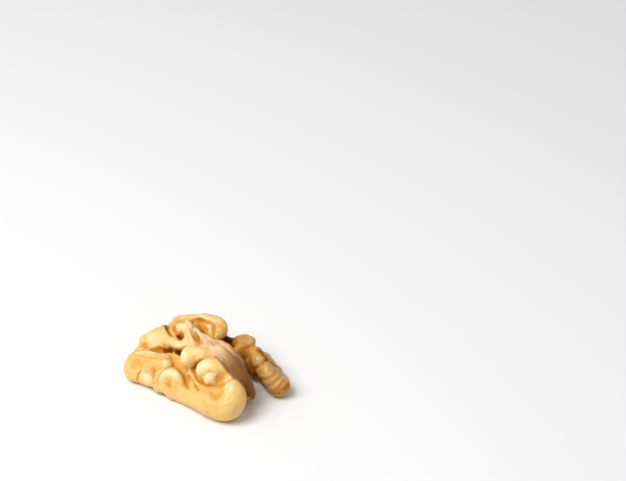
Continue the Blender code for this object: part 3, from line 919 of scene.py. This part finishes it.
@dataclass(frozen=True)
class FloorFinish:
    """Matt white card."""

    colour: Colour = (0.90, 0.90, 0.90)
    roughness: float = 0.9
    shine: float = 0.1
    grain: float = 0.012

    def material(self) -> bpy.types.Material:
        """The finish as a material.

        Returns:
            The material.
        """
        made = bpy.data.materials.new("white card")
        made.use_nodes = True
        tree = Tree(made.node_tree)
        place = tree.add("ShaderNodeTexCoord").outputs["Object"]
        cloud = tree.noise(place, 9.0, 2.0)
        darker = tuple(part - self.grain for part in self.colour)
        shader = tree.add("ShaderNodeBsdfPrincipled", {
            "Base Color": tree.mix(cloud, self.colour, darker),
            "Roughness": self.roughness,
            "Specular IOR Level": self.shine,
        })
        tree.add("ShaderNodeOutputMaterial", {"Surface": shader.outputs[0]})
        return made


# ---- the skin's relief


@dataclass(frozen=True)
class SkinRelief:
    """The skin's wrinkles, made by Geometry Nodes along the surface's normals.

    Fields: the depth and size of the wrinkles, puckers and veins, and of the wall's fibres, and how
    far the pattern is shifted.
    """

    wrinkle_depth: float = 0.13 * MM
    wrinkle_size: float = 2.3 * MM
    pucker_depth: float = 0.06 * MM
    pucker_size: float = 0.9 * MM
    vein_depth: float = 0.045 * MM
    vein_size: float = 2.4 * MM
    fibre_depth: float = 0.16 * MM
    fibre_pitch: float = 0.7 * MM
    fibre_length: float = 5.0 * MM
    shift: float = 3.7

    def tree(self) -> bpy.types.GeometryNodeTree:
        """The tree, with a named input for each size.

        Returns:
            The tree. It ends in real geometry with the skin's material on it.
        """
        made = bpy.data.node_groups.new("skin relief", "GeometryNodeTree")
        face = made.interface
        face.new_socket("Geometry", in_out="INPUT", socket_type="NodeSocketGeometry")
        for name in self.sizes():
            face.new_socket(name, in_out="INPUT", socket_type="NodeSocketFloat")
        face.new_socket("Skin", in_out="INPUT", socket_type="NodeSocketMaterial")
        face.new_socket("Geometry", in_out="OUTPUT", socket_type="NodeSocketGeometry")
        tree = Tree(made)
        given = tree.add("NodeGroupInput").outputs
        position = tree.add("GeometryNodeInputPosition").outputs[0]
        inputs = {0: position, 1: given["Shift"]}
        place = tree.add("ShaderNodeVectorMath", inputs, operation="ADD").outputs[0]
        masks = {name: self._attribute(tree, name) for name in ("wall", "along", "across", "lift")}
        height = self._bumps(tree, place, given["Wrinkle size"], given["Wrinkle depth"], 0.8)
        puckers = self._bumps(tree, place, given["Pucker size"], given["Pucker depth"], 0.3)
        height = tree.plus(height, puckers)
        meshes = tree.math("DIVIDE", MM, given["Vein size"])
        net = tree.veins(tree.scaled(place, 1 / MM), meshes, 0.12, 2.2)
        height = tree.minus(height, tree.times(net, given["Vein depth"]))
        height = tree.times(height, tree.minus(1.0, tree.times(masks["wall"], 0.7)))
        height = tree.plus(height, self._fibres(tree, given, masks))
        height = tree.times(height, masks["lift"])
        offset = tree.scaled(tree.add("GeometryNodeInputNormal").outputs[0], height)
        inputs = {"Geometry": given["Geometry"], "Offset": offset}
        moved = tree.add("GeometryNodeSetPosition", inputs)
        real = tree.add("GeometryNodeRealizeInstances", {0: moved.outputs[0]})
        inputs = {"Geometry": real.outputs[0], "Material": given["Skin"]}
        dressed = tree.add("GeometryNodeSetMaterial", inputs)
        tree.add("NodeGroupOutput", {0: dressed.outputs[0]})
        return made

    def sizes(self) -> dict[str, float]:
        """The value of each named input. An input is named after its field, as in Wrinkle depth."""
        return {name.replace("_", " ").capitalize(): size for name, size in vars(self).items()}

    @staticmethod
    def _attribute(tree: Tree, name: str) -> Socket:
        """The number that the mesh stores under name."""
        node = tree.add("GeometryNodeInputNamedAttribute", {"Name": name}, data_type="FLOAT")
        return node.outputs["Attribute"]

    @staticmethod
    def _bumps(tree: Tree, place: Socket, size: Socket, depth: Socket, distortion: float) -> Socket:
        """Soft bumps of a size and depth, up and down by the same amount."""
        cloud = tree.noise(place, tree.math("DIVIDE", 1.0, size), 2.0, 0.5, distortion)
        return tree.times(tree.minus(cloud, 0.5), tree.times(depth, 2.0))

    @staticmethod
    def _fibres(tree: Tree, given: bpy.types.NodeOutputs, masks: Sockets) -> Socket:
        """Long fibres that run along the wall.

        Args:
            tree: The relief's tree.
            given: The tree's named inputs.
            masks: The numbers stored on the mesh, by name.

        Returns:
            The socket with the fibres' height.
        """
        along = tree.math("DIVIDE", tree.times(masks["along"], MM), given["Fibre length"])
        across = tree.math("DIVIDE", tree.times(masks["across"], MM), given["Fibre pitch"])
        place = tree.add("ShaderNodeCombineXYZ", {0: along, 1: across}).outputs[0]
        cloud = tree.minus(tree.noise(place, 1.0, 2.0, 0.5, 0.4), 0.5)
        depth = tree.times(tree.times(given["Fibre depth"], 2.0), masks["wall"])
        return tree.times(cloud, depth)

    def apply(self, piece: bpy.types.Object, skin: bpy.types.Material) -> bpy.types.Mesh:
        """Gives the piece the relief and the skin.

        Args:
            piece: The piece, with the attributes that the tree reads on its mesh.
            skin: The material that the tree sets.

        Returns:
            The plain mesh with the relief in it. The modifier is gone from the piece.
        """
        group = self.tree()
        modifier = piece.modifiers.new("skin relief", "NODES")
        modifier.node_group = group
        values = {**self.sizes(), "Skin": skin}
        for item in group.interface.items_tree:
            if item.in_out == "INPUT" and item.name in values:
                modifier[item.identifier] = values[item.name]
        made = plain_mesh(piece)
        piece.modifiers.remove(modifier)
        return made


def plain_mesh(piece: bpy.types.Object) -> bpy.types.Mesh:
    """The piece with its modifiers applied.

    Args:
        piece: The piece, which stays as it is.

    Returns:
        A new mesh.
    """
    bpy.context.view_layer.update()
    graph = bpy.context.evaluated_depsgraph_get()
    finished = piece.evaluated_get(graph)
    return bpy.data.meshes.new_from_object(finished, preserve_all_data_layers=True, depsgraph=graph)


# ---- the kernel


@dataclass
class Kernel:
    """The half kernel: one piece of flesh in its skin.

    Fields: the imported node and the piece's names, the even mesh's step, how many passes each kind of
    averaging takes, and the sizes and seed of the search for sheltered places.
    """

    node: str = "kernel"
    name: str = "kernel_skin"
    slot: str = "kernel_skin"
    mesh_step: float = 0.165 * MM
    merge_within: float = 0.0005 * MM
    smooth_passes: int = 7
    valley_passes: int = 60
    valley_gain: float = 0.22
    fold_gain: float = 0.05
    low_passes: int = 260
    hollow_passes: int = 50
    crease_passes: int = 16
    fine_passes: int = 5
    wall_steps: int = 6
    wall_edge: Range = (0.95, 0.40)
    lift_height: Range = (0.02, 0.5)
    shelter_rays: int = 14
    shelter_reach: float = 4.5
    seed: int = 7
    skin: SkinFinish = SkinFinish()
    wrinkles: SkinRelief = SkinRelief()

    def build(self) -> bpy.types.Object:
        """Makes the dressed piece.

        Returns:
            The piece, ready to ride on its body.
        """
        piece = self._fine_copy()
        flesh = Flesh(piece.data)
        flesh.smooth(self.smooth_passes)
        flesh.tighten(self.valley_passes, self.valley_gain, self.fold_gain)
        flesh.work(LINES)
        flesh.smooth(1)
        self._settle(flesh)
        self._describe(flesh)
        flesh.store()
        rough = piece.data
        piece.data = self.wrinkles.apply(piece, self.skin.material())
        bpy.data.meshes.remove(rough)
        self._settle_mesh(piece.data)
        piece.data.name = self.name
        piece.data.shade_smooth()
        return piece

    def _fine_copy(self) -> bpy.types.Object:
        """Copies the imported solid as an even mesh, fine enough for the creases.

        Returns:
            A new object with the mesh.
        """
        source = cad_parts[self.node]
        mesh = source.data.copy()
        work = bmesh.new()
        work.from_mesh(mesh)
        bmesh.ops.remove_doubles(work, verts=work.verts, dist=self.merge_within)
        work.to_mesh(mesh)
        work.free()
        mesh.materials.clear()
        piece = bpy.data.objects.new(self.name, mesh)
        bpy.context.scene.collection.objects.link(piece)
        remesh = piece.modifiers.new("even mesh", "REMESH")
        remesh.mode = "VOXEL"
        remesh.voxel_size = self.mesh_step
        even = plain_mesh(piece)
        piece.modifiers.remove(remesh)
        piece.data = even
        bpy.data.meshes.remove(mesh)
        return piece

    def _settle(self, flesh: Flesh) -> None:
        """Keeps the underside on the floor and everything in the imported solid's box."""
        low, high = (np.array(corner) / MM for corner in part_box(self.node))
        flesh.points = np.clip(flesh.points, low, high)

    def _settle_mesh(self, mesh: bpy.types.Mesh) -> None:
        """Does the same for a finished mesh."""
        flesh = Flesh(mesh)
        self._settle(flesh)
        flesh.store()

    def _describe(self, flesh: Flesh) -> None:
        """Stores what the skin's relief and finish read: hollows, shelter, the wall, and the brown and
        pale marks, which hold stains, painted shade and painted highlights.

        Args:
            flesh: The shaped flesh.
        """
        height = flesh.points[:, 2]
        # Hollows and creases at three scales, which the finish turns amber as painted shade.
        flesh.keep("hollow", -flesh.blurred(flesh.relief(self.hollow_passes), 1))
        flesh.keep("crease", -flesh.relief(self.crease_passes))
        flesh.keep("fine_hollow", -flesh.relief(self.fine_passes))
        # How low each place lies among the folds; the finish makes it golder, partly as painted shade.
        flesh.keep("low", -flesh.relief(self.low_passes))
        # Sheltered places, which the finish turns amber as painted shade.
        shelter = flesh.shelter(self.shelter_rays, self.shelter_reach, self.seed)
        flesh.keep("shelter", shelter)
        away, along, across = flesh.along_wall(WALL_ROWS, self.wall_steps)
        flesh.keep("wall", flesh.blurred(smooth_step(away, *self.wall_edge), 3))
        flesh.keep("along", along)
        flesh.keep("across", across)
        flesh.keep("brown", flesh.blurred(flesh.brown, 1))
        flesh.keep("pale", flesh.blurred(flesh.pale, 6))
        flesh.keep("lift", smooth_step(height, *self.lift_height))
        flesh.keep("slim", self._slim_side(flesh))

    @staticmethod
    def _slim_side(flesh: Flesh) -> np.ndarray:
        """Tells the slim lobe from the large one.

        Args:
            flesh: The shaped flesh.

        Returns:
            1 on the slim lobe's side of the slit and 0 on the other, for each point.
        """
        slit_back = np.array((4.0, 4.6)) + MARK_ZERO[:2]
        slit_front = np.array((8.8, -9.5)) + MARK_ZERO[:2]
        along = (slit_front - slit_back) / np.linalg.norm(slit_front - slit_back)
        across = np.array((-along[1], along[0]))
        side = (flesh.points[:, :2] - slit_back) @ across
        return smooth_step(side, -0.6, 0.8)


# ---- floor, light and camera


@dataclass
class Studio:
    """A pale floor, a large soft light from the front left, an even white surround and the camera.

    Fields: lengths in metres, the light's power in watts, and the camera's angles: how far it looks
    down at aim from distance, and how far it is then turned so that the kernel stands off centre.
    """

    floor_side: float = 3.0
    surround: float = 0.46
    key_from: tuple[float, float, float] = (-0.235, -0.13, 0.39)
    key_size: float = 0.32
    key_power: float = 2.05
    lens: float = 150.0
    sensor: float = 36.0
    looks_down: float = math.radians(31.75)
    distance: float = 0.4658
    aim: tuple[float, float, float] = (0.072 * MM, 2.986 * MM, 0.0)
    turned_right: float = math.radians(2.33)
    turned_up: float = math.radians(2.95)

    def build(self) -> None:
        """Makes all of it."""
        self._floor()
        self._surround()
        self._key()
        self._camera()
        bpy.context.scene.view_settings.view_transform = "Standard"

    def _floor(self) -> None:
        """One flat sheet under the kernel."""
        half = self.floor_side / 2
        mesh = bpy.data.meshes.new("floor")
        corners = [(-half, -half, 0.0), (half, -half, 0.0), (half, half, 0.0), (-half, half, 0.0)]
        mesh.from_pydata(corners, [], [(0, 1, 2, 3)])
        mesh.materials.append(FloorFinish().material())
        floor = bpy.data.objects.new("floor", mesh)
        bpy.context.scene.collection.objects.link(floor)

    def _surround(self) -> None:
        """Even white light from all round."""
        world = bpy.data.worlds.new("surround")
        world.use_nodes = True
        tree = Tree(world.node_tree)
        inputs = {"Color": (1.0, 1.0, 1.0, 1.0), "Strength": self.surround}
        light = tree.add("ShaderNodeBackground", inputs)
        tree.add("ShaderNodeOutputWorld", {"Surface": light.outputs[0]})
        bpy.context.scene.world = world

    def _key(self) -> None:
        """The large soft light."""
        light = bpy.data.lights.new("key light", "AREA")
        light.size = self.key_size
        light.energy = self.key_power
        lamp = bpy.data.objects.new("key light", light)
        lamp.location = self.key_from
        lamp.rotation_mode = "QUATERNION"
        lamp.rotation_quaternion = (-Vector(self.key_from)).to_track_quat("-Z", "Y")
        bpy.context.scene.collection.objects.link(lamp)

    def _camera(self) -> None:
        """A long lens that looks down on the kernel from the slit's open end."""
        data = bpy.data.cameras.new("camera")
        data.lens = self.lens
        data.sensor_width = self.sensor
        data.clip_start = 0.01
        data.clip_end = 10.0
        camera = bpy.data.objects.new("camera", data)
        back = Vector((0.0, -math.cos(self.looks_down), math.sin(self.looks_down)))
        straight = (-back).to_track_quat("-Z", "Y").to_matrix()
        turn = Matrix.Rotation(-self.turned_right, 3, "Y") @ Matrix.Rotation(self.turned_up, 3, "X")
        camera.location = Vector(self.aim) + back * self.distance
        camera.rotation_mode = "QUATERNION"
        camera.rotation_quaternion = (straight @ turn).to_quaternion()
        bpy.context.scene.collection.objects.link(camera)
        bpy.context.scene.camera = camera


def report(piece: bpy.types.Object) -> None:
    """Logs a piece's name, triangles and size.

    Args:
        piece: The finished piece.
    """
    piece.data.calc_loop_triangles()
    size = " x ".join(f"{side / MM:.2f}" for side in piece.dimensions)
    log.info("%s: %d triangles, %s mm", piece.name, len(piece.data.loop_triangles), size)


def main() -> None:
    """Builds the studio and the kernel."""
    logging.basicConfig(level=logging.INFO, format="%(message)s")
    Studio().build()
    kernel = Kernel()
    piece = kernel.build()
    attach(piece, "root")
    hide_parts(kernel.node)
    bpy.context.view_layer.update()
    report(piece)


if __name__ == "__main__":
    main()
